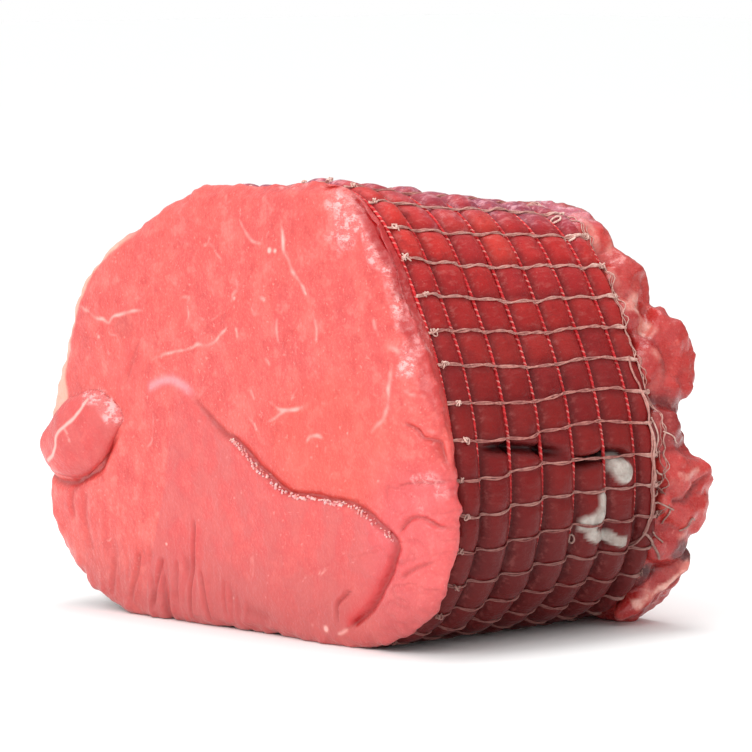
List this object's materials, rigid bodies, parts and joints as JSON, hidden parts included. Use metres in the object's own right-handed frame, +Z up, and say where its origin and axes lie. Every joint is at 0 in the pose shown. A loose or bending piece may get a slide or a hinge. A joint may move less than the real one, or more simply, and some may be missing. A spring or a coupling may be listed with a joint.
{
  "type": "roast beef joint",
  "caption": "Raw beef roasting joint: a boneless roll with a flat cut face and a ragged end, held in a knitted net of elastic hoops and lengthwise strings.",
  "frame": {"origin": "centre of the bounding box on the plane that the joint rests on", "axes": "+X along the roll from the cut face to the ragged end, +Y across it, +Z up; the cut face looks along -X"},
  "size_m": [0.1352, 0.1816, 0.1373],
  "materials": {
    "beef": "raw lean beef, moist with a soft gloss, cream marbling and fat, darker on the netted side",
    "netting": "knitted food netting: red elastic hoops and pale stained string"
  },
  "bodies": {
    "root": {"beef_joint": "beef", "net": "netting"}
  },
  "joints": []
}
